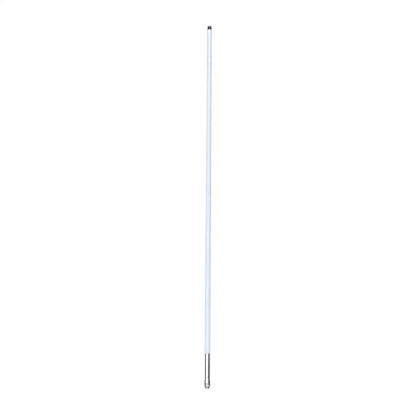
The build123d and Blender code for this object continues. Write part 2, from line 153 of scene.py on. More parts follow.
# ---- the jack --------------------------------------------------------------------------------------
# An N-type jack, turned from brass and nickel-plated. Below the collar its barrel carries a rolled
# 5/8-24 thread in two runs, one for the plug and one for the nut, with a relief groove between them.
STEPS = 96
SHARP = radians(32)
PITCH = 25.4 / 24
DEPTH_TO_PITCH = 0.5413
THREAD_R = 15.875 / 2
RELIEF_LOW, RELIEF_HIGH, RELIEF_R = 6.4, 7.1, THREAD_R - 0.6
THREAD_END = 15.6
JACK_LEAD, JACK_EDGE = 0.75, 0.2
JACK_GROOVE_LOW, JACK_GROOVE_HIGH, JACK_GROOVE_R = 19.17, 20.83, 6.49
JACK_REAR_R, JACK_SHOULDER, JACK_REAR_TOP = 5.0, 24.0, 34.0
JACK_END_WALL = 0.3
MOUTH_R, MOUTH_DEPTH, MOUTH_EDGE, JACK_BORE_R = 4.05, 9.1, 0.3, 3.5
FERRULE_R, FERRULE_BORE_R, FERRULE_EDGE = 2.6, 1.82, 0.15
# The gap between a part and what it fits on.
HAIR = 0.02


def extent(name):
    """A CAD node's lowest level, highest level and largest radius, in millimetres."""
    low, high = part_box(name)
    return low.z / MM, high.z / MM, max(high.x, -low.x, high.y, -low.y) / MM


def rims(bm, level):
    """The edges of the open rim that lies at a level."""
    return [
        edge
        for edge in bm.edges
        if edge.is_boundary and all(abs(vert.co.z - level) < 1e-3 for vert in edge.verts)
    ]


def carry(bm, rim, *stations):
    """Carries an open rim on through (radius, level) stations, and returns the last rim.

    A radius or level may be a function of the angle about the axis.
    """
    for radius, level in stations:
        made = bmesh.ops.extrude_edge_only(bm, edges=rim)["geom"]
        for vert in (item for item in made if isinstance(item, BMVert)):
            angle = atan2(vert.co.y, vert.co.x)
            reach = radius(angle) if callable(radius) else radius
            height = level(angle) if callable(level) else level
            vert.co = (reach * cos(angle), reach * sin(angle), height)
        rim = [item for item in made if isinstance(item, BMEdge) and item.is_boundary]
    return rim


def slice_through(bm, point, normal, **settings):
    """A ring of edges where a plane crosses a mesh."""
    everything = bm.verts[:] + bm.edges[:] + bm.faces[:]
    bmesh.ops.bisect_plane(bm, geom=everything, plane_co=point, plane_no=normal, **settings)


def threaded(low, high, radius=THREAD_R, pitch=PITCH, steps=STEPS):
    """An open screw surface between two levels, cut square at both, with rounded-off 60 degree teeth."""
    crest = pitch / 8
    depth = DEPTH_TO_PITCH * pitch
    flank = depth * tan(pi / 6)
    first, last = floor(low / pitch) - 1, ceil(high / pitch) + 1
    bm = bmesh.new()
    outline = []
    for tooth in range(first, last):
        start = tooth * pitch
        outline += [(radius, start), (radius, start + crest), (radius - depth, start + crest + flank)]
        outline.append((radius - depth, start + pitch - flank))
    verts = [bm.verts.new((reach, 0, level)) for reach, level in outline]
    edges = [bm.edges.new(pair) for pair in zip(verts, verts[1:])]
    lift = (0, 0, pitch / steps)
    bmesh.ops.spin(bm, geom=verts + edges, axis=(0, 0, 1), dvec=lift, angle=2 * pi, steps=steps)
    bmesh.ops.remove_doubles(bm, verts=bm.verts, dist=1e-4)
    for level, side in ((low, -1), (high, 1)):
        slice_through(bm, (0, 0, level), (0, 0, side), clear_outer=True, dist=1e-5)
    return bm


def lead_in(bm, tip_radius, tip, inwards):
    """Turns a 45 degree lead on a threaded end. Inwards is 1 where the thread lies above the tip, or -1."""
    for vert in bm.verts:
        limit = tip_radius + inwards * (vert.co.z - tip)
        reach = vert.co.xy.length
        if reach > limit:
            vert.co.xy = vert.co.xy * (limit / reach)


def joined(*parts):
    """One bmesh that holds several."""
    whole = bmesh.new()
    for part in parts:
        mesh = bpy.data.meshes.new("part")
        part.to_mesh(mesh)
        part.free()
        whole.from_mesh(mesh)
        bpy.data.meshes.remove(mesh)
    return whole


def piece(bm, name, material, slot, *nodes, body="antenna", sharp=SHARP):
    """The finished piece, in metres, riding on its body and standing for its CAD nodes."""
    bmesh.ops.recalc_face_normals(bm, faces=bm.faces)
    bmesh.ops.scale(bm, vec=(MM, MM, MM), verts=bm.verts)
    mesh = bpy.data.meshes.new(name)
    bm.to_mesh(mesh)
    bm.free()
    mesh.shade_smooth()
    mesh.set_sharp_from_angle(angle=sharp)
    mesh.materials.append(material)
    thing = bpy.data.objects.new(name, mesh)
    scene.collection.objects.link(thing)
    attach(thing, body)
    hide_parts(*nodes)
    return thing


def shader_of(material):
    """A material's Principled shader."""
    return material.node_tree.nodes["Principled BSDF"]


def place(material, stretch=(1, 1, 1)):
    """The point on the piece, stretched along each axis."""
    point = node(material, "TexCoord").outputs["Object"]
    return node(material, "Mapping", Vector=point, Scale=stretch).outputs["Vector"]


def clouds(material, per_metre, stretch=(1, 1, 1), detail=3.0, roughness=0.5):
    """Soft noise with so many features to the metre."""
    point = place(material, stretch)
    noisy = node(material, "TexNoise", Vector=point, Scale=per_metre, Detail=detail, Roughness=roughness)
    return noisy.outputs["Fac"]


def off_axis(material):
    """The distance from the antenna's axis, in metres."""
    flat = node(material, "VectorMath", operation="LENGTH")
    material.node_tree.links.new(place(material, (1, 1, 0)), flat.inputs[0])
    return flat.outputs["Value"]


def tool_marks(material, per_metre, detail=2.0):
    """The fine rings that turning leaves, on a face as on a side."""
    along = node(material, "Math", operation="ADD")
    level = node(material, "SeparateXYZ", Vector=place(material)).outputs["Z"]
    material.node_tree.links.new(off_axis(material), along.inputs[0])
    material.node_tree.links.new(level, along.inputs[1])
    run = along.outputs["Value"]
    rings = node(material, "TexNoise", noise_dimensions="1D", W=run, Scale=per_metre, Detail=detail)
    return rings.outputs["Fac"]


def between(material, factor, low, high, spread=(0.3, 0.7)):
    """A number that goes from low to high as the factor crosses its spread."""
    ends = {"From_Min": spread[0], "From_Max": spread[1], "To_Min": low, "To_Max": high}
    return node(material, "MapRange", Value=factor, **ends).outputs["Result"]


def tint(material, factor, low, high, spread=(0.35, 0.65)):
    """Moves the base colour towards another, or between two, as the factor crosses its spread."""
    socket = shader_of(material).inputs["Base Color"]
    links = material.node_tree.links
    mix = node(material, "Mix", data_type="RGBA")
    links.new(between(material, factor, 0, 1, spread), mix.inputs["Factor"])
    if low is None:
        links.new(socket.links[0].from_socket, mix.inputs["A"])
    else:
        mix.inputs["A"].default_value = (*low, 1)
    mix.inputs["B"].default_value = (*high, 1)
    links.new(mix.outputs["Result"], socket)


def gloss(material, factor, low, high, spread=(0.3, 0.7)):
    """Uneven roughness."""
    made = between(material, factor, low, high, spread)
    material.node_tree.links.new(made, shader_of(material).inputs["Roughness"])


def relief(material, *layers):
    """Bumps, one on the other: each layer is its height factor and its height in metres."""
    normal = None
    for height, distance in layers:
        bump = node(material, "Bump", Height=height, Distance=distance)
        if normal is not None:
            material.node_tree.links.new(normal, bump.inputs["Normal"])
        normal = bump.outputs["Normal"]
    material.node_tree.links.new(normal, shader_of(material).inputs["Normal"])


def finish(name, dark, pale, smooth, rough, per_metre, **sockets):
    """A material whose colour drifts from dark to pale in so many patches to the metre, and its roughness
    from smooth to rough in smaller ones. Sockets are named with underscores for spaces.
    """
    material = bpy.data.materials.new(name)
    material.use_nodes = True
    for socket, value in sockets.items():
        shader_of(material).inputs[socket.replace("_", " ")].default_value = value
    tint(material, clouds(material, per_metre, detail=4), dark, pale)
    gloss(material, clouds(material, 2.6 * per_metre, detail=5), smooth, rough)
    return material


nickel_plate = finish(
    "nickel_plate", (0.64, 0.635, 0.63), (0.76, 0.755, 0.75), 0.17, 0.34, 160, Metallic=1.0
)
relief(nickel_plate, (tool_marks(nickel_plate, 7000), 1.5e-6), (clouds(nickel_plate, 2600), 2e-6))

lower_run = threaded(0.0, RELIEF_LOW)
lead_in(lower_run, THREAD_R - JACK_LEAD, 0.0, 1)
upper_run = threaded(RELIEF_HIGH, THREAD_END)
jack = joined(lower_run, upper_run)
ferrule_top = extent("jack_body")[1]
back = carry(
    jack,
    rims(jack, 0.0),
    (MOUTH_R + MOUTH_EDGE, 0.0),
    (MOUTH_R, MOUTH_EDGE),
    (MOUTH_R, MOUTH_DEPTH),
    (JACK_BORE_R, MOUTH_DEPTH),
    (JACK_BORE_R, JACK_REAR_TOP - JACK_END_WALL),
    (FERRULE_BORE_R, JACK_REAR_TOP - JACK_END_WALL),
    (FERRULE_BORE_R, ferrule_top),
    (FERRULE_R - FERRULE_EDGE, ferrule_top),
    (FERRULE_R, ferrule_top - FERRULE_EDGE),
    (FERRULE_R, JACK_REAR_TOP),
    (JACK_REAR_R - JACK_EDGE, JACK_REAR_TOP),
    (JACK_REAR_R, JACK_REAR_TOP - JACK_EDGE),
    (JACK_REAR_R, JACK_SHOULDER),
    (THREAD_R - JACK_EDGE, JACK_SHOULDER),
    (THREAD_R, JACK_SHOULDER - JACK_EDGE),
    (THREAD_R, JACK_GROOVE_HIGH),
    (JACK_GROOVE_R, JACK_GROOVE_HIGH),
    (JACK_GROOVE_R, JACK_GROOVE_LOW),
    (THREAD_R, JACK_GROOVE_LOW),
    (THREAD_R, THREAD_END + JACK_EDGE),
)
bmesh.ops.bridge_loops(jack, edges=back + rims(jack, THREAD_END))
groove = carry(jack, rims(jack, RELIEF_HIGH), (RELIEF_R, RELIEF_HIGH), (RELIEF_R, RELIEF_LOW + HAIR))
bmesh.ops.bridge_loops(jack, edges=groove + rims(jack, RELIEF_LOW))
piece(jack, "jack_shell", nickel_plate, "nickel_plate", "jack_body")

# ---- the jack's insulator --------------------------------------------------------------------------
# A bead turned from PTFE rod and pressed into the jack, where it holds the centre contact. The waist
# round its middle keeps the line's impedance even.
FINE_STEPS = 48
BEAD_BORE_R = 1.54
BEAD_LEAD_R, BEAD_LEAD = 0.58, 0.6
WAIST_LOW, WAIST_HIGH, WAIST_DEPTH, WAIST_SLOPE = 20.0, 26.5, 0.48, 0.5


def eased(bm, width):
    """Breaks the sharp edges of a closed solid with a small round."""
    bmesh.ops.recalc_face_normals(bm, faces=bm.faces)
    sharp = [edge for edge in bm.edges if edge.is_manifold and edge.calc_face_angle(0) > SHARP]
    style = {"segments": 2, "profile": 0.5, "affect": "EDGES", "material": -1, "clamp_overlap": True}
    bmesh.ops.bevel(bm, geom=sharp, offset=width, **style)
    return bm


def turned(*outline, steps=STEPS, ease=0.0, hollow=True):
    """A solid turned about the axis from the (radius, level) points of its section, its edges eased.

    A hollow one's section closes on itself. The other kind ends in a flat disc above and below.
    """
    bm = bmesh.new()
    verts = [bm.verts.new((radius, 0, level)) for radius, level in outline]
    edges = [bm.edges.new(pair) for pair in zip(verts, verts[1:])]
    if hollow:
        edges.append(bm.edges.new((verts[-1], verts[0])))
    bmesh.ops.spin(bm, geom=verts + edges, axis=(0, 0, 1), angle=2 * pi, steps=steps, use_merge=True)
    bmesh.ops.holes_fill(bm, edges=[edge for edge in bm.edges if edge.is_boundary])
    return eased(bm, ease) if ease else bm


def tube(outer, inner, low, high, steps=FINE_STEPS, ease=0.0):
    """A straight tube on the axis."""
    return turned((inner, low), (outer, low), (outer, high), (inner, high), steps=steps, ease=ease)


def rod(radius, low, high, steps=FINE_STEPS, ease=0.0):
    """A straight rod on the axis."""
    return turned((radius, low), (radius, high), steps=steps, ease=ease, hollow=False)


ptfe = finish(
    "ptfe", (0.84, 0.84, 0.815), (0.91, 0.91, 0.895), 0.34, 0.5, 300, Specular_IOR_Level=0.35, IOR=1.36
)
relief(ptfe, (tool_marks(ptfe, 4000), 3e-6), (clouds(ptfe, 1500), 4e-6))

bead_low, bead_high, bead_r = extent("jack_dielectric")
insulator = turned(
    (BEAD_BORE_R, bead_low),
    (bead_r - BEAD_LEAD_R, bead_low),
    (bead_r, bead_low + BEAD_LEAD),
    (bead_r, WAIST_LOW),
    (bead_r - WAIST_DEPTH, WAIST_LOW + WAIST_SLOPE),
    (bead_r - WAIST_DEPTH, WAIST_HIGH - WAIST_SLOPE),
    (bead_r, WAIST_HIGH),
    (bead_r, bead_high),
    (BEAD_BORE_R, bead_high),
    ease=0.1,
)
piece(insulator, "jack_insulator", ptfe, "ptfe", "jack_dielectric")

# ---- the centre contact ----------------------------------------------------------------------------
# Turned from beryllium copper and gold-plated. Four slotted fingers grip the plug's pin, and the feed
# line's wire is soldered into the cup at the back.
CONTACT_BORE_R, CONTACT_BORE_DEPTH = 0.84, 6.0
DRILL_POINT_R, DRILL_POINT = 0.15, 0.4
FUNNEL_R, FUNNEL_DEPTH = 0.2, 0.3
NOSE_R, NOSE_LENGTH = 0.25, 0.4
SOLDER_CUP_R, SOLDER_CUP_DEPTH = 0.48, 2.5
SAW_LENGTH, SAW_ANGLES = 4, (pi / 4, 3 * pi / 4)
SLOT_WIDTH, SLOT_DEPTH = 0.35, 5.0


def cut(bm, *cutters):
    """A solid with the cutters taken out of it. All of them are used up."""
    blank, tool = (bpy.data.objects.new(part, bpy.data.meshes.new(part)) for part in ("blank", "tool"))
    for thing, source in ((blank, bm), (tool, joined(*cutters))):
        bmesh.ops.recalc_face_normals(source, faces=source.faces)
        source.to_mesh(thing.data)
        source.free()
        scene.collection.objects.link(thing)
    modifier = blank.modifiers.new("cut", "BOOLEAN")
    modifier.operation = "DIFFERENCE"
    modifier.solver = "EXACT"
    modifier.object = tool
    result = bmesh.new()
    result.from_object(blank, bpy.context.evaluated_depsgraph_get())
    for thing in (blank, tool):
        bpy.data.meshes.remove(thing.data)
    return result


def slab(width, depth, height, angle, level):
    """A block on the axis, turned about it."""
    bm = bmesh.new()
    bmesh.ops.create_cube(bm, size=1)
    bmesh.ops.scale(bm, vec=(width, depth, height), verts=bm.verts)
    spun = Matrix.Translation((0, 0, level)) @ Matrix.Rotation(angle, 4, "Z")
    bmesh.ops.transform(bm, matrix=spun, verts=bm.verts)
    return bm


gold_plate = finish("gold_plate", (0.88, 0.60, 0.22), (0.97, 0.73, 0.34), 0.13, 0.28, 900, Metallic=1.0)
relief(gold_plate, (tool_marks(gold_plate, 9000), 1.5e-6))

tip, tail, contact_r = extent("jack_contact")
contact = turned(
    (DRILL_POINT_R, tip + CONTACT_BORE_DEPTH + DRILL_POINT),
    (CONTACT_BORE_R, tip + CONTACT_BORE_DEPTH),
    (CONTACT_BORE_R, tip + FUNNEL_DEPTH),
    (CONTACT_BORE_R + FUNNEL_R, tip),
    (contact_r - NOSE_R, tip),
    (contact_r, tip + NOSE_LENGTH),
    (contact_r, tail),
    (SOLDER_CUP_R, tail),
    (SOLDER_CUP_R, tail - SOLDER_CUP_DEPTH),
    steps=FINE_STEPS,
    ease=0.05,
    hollow=False,
)
for angle in SAW_ANGLES:
    contact = cut(contact, slab(SAW_LENGTH, SLOT_WIDTH, 2 * SLOT_DEPTH, angle, tip))
piece(contact, "centre_contact", gold_plate, "gold_plate", "jack_contact")

# ---- the collar ------------------------------------------------------------------------------------
# A turned and polished aluminium ring, tapped for the jack, whose spigot goes up inside the sleeve.
# Its lower face bears on the mast bracket when the nut is tightened.
COLLAR_EDGE = 0.7
COLLAR_SPIGOT_R, COLLAR_SPIGOT_LEAD = 6.48, 0.4
COLLAR_BORE_R = JACK_REAR_R + 0.1
GRUB_LEVEL = 37.0
GRUB_ANGLES = (radians(60), radians(120))
GRUB_R = 1.5
HOLE_MARGIN, DRILL_RUN = 2.5, 2


def outwards(bm, angle, level):
    """Turns a solid that was made along +Z so that it points out from the axis."""
    aim = Matrix.Rotation(angle, 4, "Z") @ Matrix.Rotation(pi / 2, 4, "Y")
    bmesh.ops.transform(bm, matrix=Matrix.Translation((0, 0, level)) @ aim, verts=bm.verts)
    return bm


def drill(radius, angle, level, start, surface):
    """A drill that goes in from a surface, with a flare that breaks the edge of its hole."""
    flare, overrun = 0.12, 1.5
    bit = turned(
        (radius, start),
        (radius, surface - flare),
        (radius + 3 * flare, surface + 2 * flare),
        (radius + 3 * flare, surface + overrun),
        steps=FINE_STEPS,
        hollow=False,
    )
    return outwards(bit, angle, level)


def scored(bm, *levels):
    """A solid with a ring of edges at each level, so that its long faces stay short."""
    for level in levels:
        slice_through(bm, (0, 0, level), (0, 0, 1), dist=1e-4)
    return bm


collar_aluminium = finish(
    "collar_aluminium", (0.79, 0.795, 0.805), (0.88, 0.88, 0.885), 0.13, 0.27, 90, Metallic=1.0
)
relief(
    collar_aluminium,
    (tool_marks(collar_aluminium, 5000), 3e-6),
    (tool_marks(collar_aluminium, 900, detail=0), 4e-6),
    (clouds(collar_aluminium, 1800), 2e-6),
)

face, spigot_top, collar_r = extent("base_collar")
sleeve_foot, spigot_tip, sleeve_r = extent("base_sleeve")
collar = turned(
    (THREAD_R + HAIR, face),
    (collar_r - COLLAR_EDGE, face),
    (collar_r, face + COLLAR_EDGE),
    (collar_r, sleeve_foot - COLLAR_EDGE),
    (collar_r - COLLAR_EDGE, sleeve_foot),
    (COLLAR_SPIGOT_R, sleeve_foot),
    (COLLAR_SPIGOT_R, spigot_top - COLLAR_SPIGOT_LEAD),
    (COLLAR_SPIGOT_R - COLLAR_SPIGOT_LEAD, spigot_top),
    (COLLAR_BORE_R, spigot_top),
    (COLLAR_BORE_R, JACK_SHOULDER + HAIR),
    (THREAD_R + HAIR, JACK_SHOULDER + HAIR),
    ease=0.22,
)
holes = [drill(GRUB_R, angle, GRUB_LEVEL, JACK_REAR_R, COLLAR_SPIGOT_R) for angle in GRUB_ANGLES]
collar = cut(scored(collar, GRUB_LEVEL - HOLE_MARGIN, GRUB_LEVEL + HOLE_MARGIN), *holes)
piece(collar, "collar", collar_aluminium, "collar_aluminium", "base_collar")

# ---- the feed line ---------------------------------------------------------------------------------
# Semi-rigid coaxial line: a silver-plated wire in a PTFE core, inside a thin copper tube that is cut
# through at every dipole, so that power leaks out there.
WIRE_STEPS, LINE_STEPS = 24, 32
COPPER_WALL = 0.3
SLOT_GAP = 1.2

silver_plate = finish(
    "silver_plate", (0.80, 0.79, 0.75), (0.93, 0.925, 0.90), 0.16, 0.34, 500, Metallic=1.0
)
relief(silver_plate, (clouds(silver_plate, 900, (1, 1, 0.05)), 3e-6))
wire_low, wire_high, wire_r = extent("feed_inner_wire")
wire = rod(wire_r, wire_low, wire_high, steps=WIRE_STEPS, ease=0.08)
piece(wire, "feed_wire", silver_plate, "silver_plate", "feed_inner_wire")

core_low, core_high, core_r = extent("feed_dielectric")
core = tube(core_r, wire_r + HAIR, core_low, core_high, steps=LINE_STEPS, ease=0.05)
piece(core, "feed_core", ptfe, "ptfe", "feed_dielectric")

copper = finish("copper", (0.55, 0.24, 0.13), (0.88, 0.50, 0.33), 0.2, 0.42, 60, Metallic=1.0)
relief(copper, (clouds(copper, 1400, (1, 1, 0.08)), 4e-6), (clouds(copper, 400), 6e-6))
dipoles = sorted(name for name in frame["nodes"] if name.startswith("dipole_"))
slot_levels = [(extent(name)[0] + extent(name)[1]) / 2 for name in dipoles]
line_low, line_high, line_r = extent("feed_outer_segments")
on_line_r = line_r + HAIR
cuts = [level + side * SLOT_GAP / 2 for level in slot_levels for side in (-1, 1)]
ends = [line_low, *cuts, line_high]
lengths = [
    tube(line_r, line_r - COPPER_WALL, low, high, steps=LINE_STEPS, ease=0.04)
    for low, high in zip(ends[::2], ends[1::2])
]
piece(joined(*lengths), "feed_shield", copper, "copper", "feed_outer_segments")

# ---- the heat-shrink sleeve ------------------------------------------------------------------------
# Black tubing shrunk over the jack's ferrule and the foot of the feed line, so that the soldered joint
# can't flex. It necks down where the ferrule ends.
SHRINK_WALL = 0.4
NECK_GAP, NECK_LENGTH, NECK_LAG = 0.2, 2.4, 0.3
NECK_STATIONS = 8

shrink_sleeve = finish("shrink_sleeve", (0.012, 0.012, 0.013), (0.03, 0.03, 0.032), 0.36, 0.52, 500)
relief(
    shrink_sleeve,
    (clouds(shrink_sleeve, 1300, (1, 1, 0.25)), 2e-5),
    (clouds(shrink_sleeve, 5000), 4e-6),
)

shrink_low, shrink_high, shrink_r = extent("heat_shrink")
fat = shrink_r - SHRINK_WALL
neck = [(1 - cos(pi * step / NECK_STATIONS)) / 2 for step in range(NECK_STATIONS + 1)]
bore = [
    (fat + (on_line_r - fat) * share, ferrule_top + NECK_GAP + NECK_LENGTH * step / NECK_STATIONS)
    for step, share in enumerate(neck)
]
skin = [(radius + SHRINK_WALL, level + NECK_LAG) for radius, level in reversed(bore)]
shrunk = turned(
    (fat, shrink_low),
    *bore,
    (on_line_r, shrink_high),
    (on_line_r + SHRINK_WALL, shrink_high),
    *skin,
    (shrink_r, shrink_low),
    steps=FINE_STEPS,
    ease=0.1,
)
piece(shrunk, "shrink_tubing", shrink_sleeve, "shrink_sleeve", "heat_shrink")

# ---- the feed line's bush --------------------------------------------------------------------------
# A moulded nylon disc that centres the feed line in the sleeve, with three holes that save plastic and
# let water past to the weep hole.
BUSH_HOLES, BUSH_HOLES_AT, BUSH_HOLE_R, BUSH_HOLE_STEPS = 3, 4.2, 1.1, 24

nylon = finish("nylon", (0.78, 0.755, 0.67), (0.87, 0.855, 0.79), 0.36, 0.54, 220, Specular_IOR_Level=0.45)
relief(nylon, (clouds(nylon, 1100), 6e-6), (clouds(nylon, 240), 1.5e-5))

bush_low, bush_high, bush_r = extent("feed_bush")
bush = tube(bush_r, on_line_r, bush_low, bush_high, steps=STEPS, ease=0.3)
bits = []
for hole in range(BUSH_HOLES):
    bit = rod(BUSH_HOLE_R, bush_low - 1, bush_high + 1, steps=BUSH_HOLE_STEPS)
    angle = hole * 2 * pi / BUSH_HOLES
    across = (BUSH_HOLES_AT * cos(angle), BUSH_HOLES_AT * sin(angle), 0)
    bmesh.ops.translate(bit, verts=bit.verts, vec=across)
    bits.append(bit)
piece(cut(bush, *bits), "line_bush", nylon, "nylon", "feed_bush")

# ---- the balun and the matching sleeve -------------------------------------------------------------
# The choke is a drawn brass cup, a quarter wave long, closed at its top and soldered round the line.
# Above it a short brass tube matches the line to the first dipole.
CUP_WALL, CUP_END, CUP_LIP, CUP_FILLET = 0.4, 1.0, 0.2, 0.25
SOLDER_RISE, SOLDER_SPREAD, SOLDER_WAIST = 0.45, 0.55, 0.15
SOLDER_GREY, SOLDER_SHOWS = (0.72, 0.72, 0.70), (2.62 * MM, 2.45 * MM)
TARNISH_BROWN = (0.50, 0.30, 0.13)


def cup(radius, length, closed, side):
    """A brass cup soldered to the feed line. Side is 1 where it opens upwards from its closed end, or -1."""
    section = [
        (on_line_r, 0.0),
        (on_line_r + SOLDER_RISE, 0.0),
        (radius - CUP_LIP, 0.0),
        (radius, CUP_LIP),
        (radius, length),
        (radius - CUP_WALL, length),
        (radius - CUP_WALL, CUP_END + CUP_FILLET),
        (radius - CUP_WALL - CUP_FILLET, CUP_END),
        (on_line_r + SOLDER_SPREAD, CUP_END),
        (on_line_r + SOLDER_WAIST, CUP_END + 0.6 * SOLDER_RISE),
        (on_line_r, CUP_END + SOLDER_RISE),
    ]
    return turned(*[(reach, closed + side * along) for reach, along in section], steps=FINE_STEPS, ease=0.06)


bright_brass = finish("bright_brass", (0.62, 0.42, 0.16), (0.86, 0.66, 0.32), 0.17, 0.4, 110, Metallic=1.0)
tarnish = clouds(bright_brass, 38, detail=6, roughness=0.65)
tint(bright_brass, tarnish, None, TARNISH_BROWN, (0.58, 0.74))
tint(bright_brass, off_axis(bright_brass), None, SOLDER_GREY, SOLDER_SHOWS)
relief(bright_brass, (tool_marks(bright_brass, 5000), 2e-6), (clouds(bright_brass, 700), 6e-6))

choke_low, choke_high, choke_r = extent("balun_choke")
choke = cup(choke_r, choke_high - choke_low, choke_high, -1)
piece(choke, "choke_cup", bright_brass, "bright_brass", "balun_choke")
match_low, match_high, match_r = extent("matching_sleeve")
match = tube(match_r, on_line_r, match_low, match_high, ease=0.25)
piece(match, "matching_tube", bright_brass, "bright_brass", "matching_sleeve")

# ---- the dipoles -----------------------------------------------------------------------------------
# Fifteen half-wave dipoles, stacked a wavelength of the line apart. Each is two quarter-wave cups,
# soldered back to back across its slot in the shield.
for number, (name, level) in enumerate(zip(dipoles, slot_levels), start=1):
    low, high, radius = extent(name)
    reach = (high - low - SLOT_GAP) / 2
    cups = [cup(radius, reach, level + side * SLOT_GAP / 2, side) for side in (-1, 1)]
    piece(joined(*cups), f"dipole_cups_{number:02d}", bright_brass, "bright_brass", name)

# ---- the spacers -----------------------------------------------------------------------------------
# Three-armed nylon stars, moulded, slid along the line and glued between the dipoles. Their arms keep
# the array in the middle of the radome.
HUB_R = 3.6
HUB_STEPS = 36
ARM_ANGLES = [radians(angle) for angle in (90, 210, 330)]
ARM_HALF_ANGLE = radians(20)
STAR_ROUND = 0.18

spacers = sorted(name for name in frame["nodes"] if name.startswith("spacer_"))
for number, name in enumerate(spacers, start=1):
    low, high, reach = extent(name)
    star = tube(HUB_R, on_line_r, low, high, steps=HUB_STEPS)
    bmesh.ops.recalc_face_normals(star, faces=star.faces)
    for angle in ARM_ANGLES:
        star.normal_update()
        aim = Vector((cos(angle), sin(angle), 0))
        root = [
            face
            for face in star.faces
            if face.calc_center_median().xy.length > HUB_R - 0.1 and face.normal.angle(aim) < ARM_HALF_ANGLE
        ]
        tips = bmesh.ops.extrude_face_region(star, geom=root)["geom"]
        bmesh.ops.delete(star, geom=root, context="FACES")
        for vert in (item for item in tips if isinstance(item, BMVert)):
            aside = vert.co.xy.dot((-aim.y, aim.x))
            along = sqrt(reach * reach - aside * aside)
            vert.co.xy = aim.xy * along + Vector((-aim.y, aim.x)) * aside
    piece(eased(star, STAR_ROUND), f"spacer_star_{number:02d}", nylon, "nylon", name)

# ---- the short at the top --------------------------------------------------------------------------
# A small brass cap, soldered over the end of the line. It joins the wire to the shield, which puts the
# whole antenna at ground for lightning.
SHORT_EDGE = 0.4
SHORT_FUNNEL_R, SHORT_FUNNEL_DEPTH = 0.3, 0.1

short_low, short_high, short_r = extent("top_short")
short = turned(
    (wire_r + HAIR, line_high),
    (on_line_r, line_high),
    (on_line_r, short_low),
    (short_r, short_low),
    (short_r, short_high - SHORT_EDGE),
    (short_r - SHORT_EDGE, short_high),
    (wire_r + SHORT_FUNNEL_R, short_high),
    (wire_r + HAIR, short_high - SHORT_FUNNEL_DEPTH),
    steps=FINE_STEPS,
    ease=0.08,
)
piece(short, "line_short", bright_brass, "bright_brass", "top_short")

# ---- the base sleeve -------------------------------------------------------------------------------
# The turned aluminium tube that a mast bracket grips. It is drilled for the grub screws, the rivets and
# a weep hole at the back, and its thinner top end goes up inside the radome.
SLEEVE_BORE_R = 6.5
SLEEVE_EDGE, SLEEVE_TOP_EDGE = 0.3, 0.35
SPIGOT_R, SPIGOT_LEAD_R, SPIGOT_LEAD = 7.95, 0.4, 0.8
RIVET_LEVEL, RIVET_ANGLES = 126.0, (0.0, pi)
RIVET_HOLE_R = 1.25
WEEP_LEVEL, WEEP_R = 51.0, 1.2
SEAL_GROOVE_HALF, SEAL_GROOVE_DEPTH = 0.55, 0.95
SLEEVE_SCORES = range(65, 110, 15)

sleeve_aluminium = finish(
    "sleeve_aluminium", (0.80, 0.81, 0.83), (0.90, 0.905, 0.915), 0.12, 0.26, 45, Metallic=1.0
)
relief(
    sleeve_aluminium,
    (tool_marks(sleeve_aluminium, 6500), 2.5e-6),
    (clouds(sleeve_aluminium, 900, (1, 1, 0.06)), 2e-6),
    (clouds(sleeve_aluminium, 45), 1.5e-5),
)

radome_low, radome_high, radome_r = extent("radome_tube")
seal_level = (extent("radome_seal")[0] + extent("radome_seal")[1]) / 2
sleeve = turned(
    (SLEEVE_BORE_R, sleeve_foot),
    (sleeve_r - SLEEVE_EDGE, sleeve_foot),
    (sleeve_r, sleeve_foot + SLEEVE_EDGE),
    (sleeve_r, radome_low - SLEEVE_TOP_EDGE),
    (sleeve_r - SLEEVE_TOP_EDGE, radome_low),
    (SPIGOT_R, radome_low),
    (SPIGOT_R, seal_level - SEAL_GROOVE_HALF),
    (SPIGOT_R - SEAL_GROOVE_DEPTH, seal_level - SEAL_GROOVE_HALF),
    (SPIGOT_R - SEAL_GROOVE_DEPTH, seal_level + SEAL_GROOVE_HALF),
    (SPIGOT_R, seal_level + SEAL_GROOVE_HALF),
    (SPIGOT_R, spigot_tip - SPIGOT_LEAD),
    (SPIGOT_R - SPIGOT_LEAD_R, spigot_tip),
    (SLEEVE_BORE_R, spigot_tip),
    ease=0.12,
)
drilled = (GRUB_LEVEL, WEEP_LEVEL, RIVET_LEVEL)
around = [level + side * HOLE_MARGIN for level in drilled for side in (-1, 1)]
inside = SLEEVE_BORE_R - DRILL_RUN
holes = [drill(GRUB_R, angle, GRUB_LEVEL, inside, sleeve_r) for angle in GRUB_ANGLES]
holes += [drill(RIVET_HOLE_R, angle, RIVET_LEVEL, inside, SPIGOT_R) for angle in RIVET_ANGLES]
holes.append(drill(WEEP_R, pi / 2, WEEP_LEVEL, inside, sleeve_r))
sleeve = cut(scored(sleeve, *around, *SLEEVE_SCORES), *holes)
piece(sleeve, "sleeve", sleeve_aluminium, "sleeve_aluminium", "base_sleeve")

# ---- the grub screws -------------------------------------------------------------------------------
# Two stainless M3 socket grub screws, side by side at the back. They go through the sleeve and bite in
# the collar's spigot.
GRUB_PITCH = 0.5
GRUB_TIP, GRUB_TOP = 5.25, 8.38
GRUB_CREST, GRUB_LEAD = GRUB_R - 0.03, 0.3
GRUB_POINT_R, GRUB_DIMPLE_R, GRUB_DIMPLE_DEPTH = 0.75, 0.3, 0.25
SOCKET_HALF_WIDTH, SOCKET_DEPTH = 0.75, 1.4
SOCKET_FLARE_R, SOCKET_FLARE_DEPTH = 0.95, 0.1
SOCKET_POINT_R, SOCKET_POINT = 0.2, 0.3


def hexagonal(half_width):
    """A hexagon's radius at each angle about the axis, with flats at its front and back."""
    return lambda angle: half_width / cos(angle % (pi / 3) - pi / 6)


stainless_steel = finish(
    "stainless_steel", (0.55, 0.54, 0.525), (0.66, 0.65, 0.635), 0.2, 0.36, 260, Metallic=1.0
)
relief(
    stainless_steel,
    (clouds(stainless_steel, 3200), 2.5e-6),
    (clouds(stainless_steel, 700, (1, 1, 3)), 4e-6),
)

